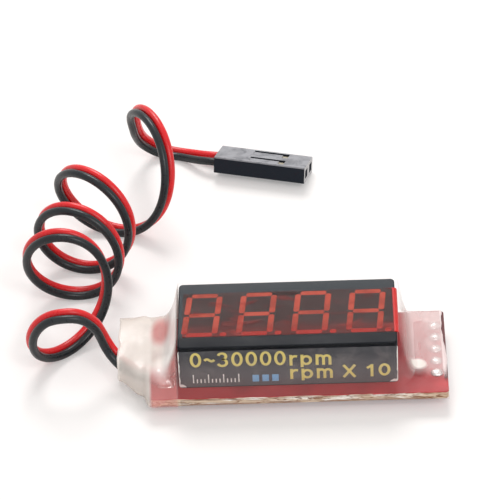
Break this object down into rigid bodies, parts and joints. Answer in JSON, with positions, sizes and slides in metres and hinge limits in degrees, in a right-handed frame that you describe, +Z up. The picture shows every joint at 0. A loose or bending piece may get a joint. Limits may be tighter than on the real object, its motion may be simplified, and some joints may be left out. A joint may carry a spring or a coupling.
{
  "type": "tachometer",
  "caption": "Pocket tachometer: a numeric display on a small circuit board in a clear shrunk sleeve, fed by a curled lead with a socket.",
  "frame": {"origin": "on the surface the sleeve rests on, under the middle of the board and sleeve", "axes": "+X along the display from its first digit to its last, +Z up out of the display's face"},
  "size_m": [0.0597, 0.0618, 0.0165],
  "materials": {
    "board_red": "red solder mask over glass-fibre board, rough cut edges",
    "tinned_metal": "tinned copper and solder, dull silver",
    "display_grey": "moulded shell, dark grey, matt",
    "segment_red": "cast red resin, unlit",
    "carrier_black": "moulded, matt",
    "filter_red": "tinted plastic film, gloss",
    "label_grey": "printed label, satin",
    "clear_film": "shrunk plastic film, gloss, a little hazy",
    "chip_black": "moulded epoxy, matt",
    "ceramic_white": "fired ceramic, matt",
    "ceramic_tan": "fired ceramic, matt",
    "tantalum_yellow": "moulded epoxy, matt",
    "wire_black": "soft wire covering, satin",
    "wire_red": "soft wire covering, satin",
    "plug_black": "moulded, matt",
    "contact_metal": "tinned contact metal"
  },
  "bodies": {
    "root": {"circuit_board": "board_red", "tinned_pads": "tinned_metal", "display_housing": "display_grey", "digit_segments": "segment_red", "display_base": "carrier_black", "display_pins": "tinned_metal", "pin_joints": "tinned_metal", "red_filter": "filter_red", "range_label": "label_grey", "heat_shrink_sleeve": "clear_film", "controller_body": "chip_black", "controller_leads": "tinned_metal", "digit_drivers": "chip_black", "digit_driver_leads": "tinned_metal", "regulator_body": "chip_black", "regulator_leads": "tinned_metal", "segment_resistors": "ceramic_white", "resistor_caps": "tinned_metal", "ceramic_capacitors": "ceramic_tan", "capacitor_caps": "tinned_metal", "tantalum_capacitor": "tantalum_yellow", "tantalum_terminals": "tinned_metal", "clock_resonator": "ceramic_tan", "resonator_terminals": "tinned_metal", "input_diode": "chip_black", "diode_terminals": "tinned_metal", "wire_cores": "tinned_metal", "lead_solder": "tinned_metal", "lead_coil": "wire_black", "plug_housing": "plug_black", "plug_contacts": "contact_metal", "lead_black_exit": "wire_black", "lead_red_exit": "wire_red", "lead_black_plug_run": "wire_black", "lead_red_plug_run": "wire_red"}
  },
  "joints": []
}
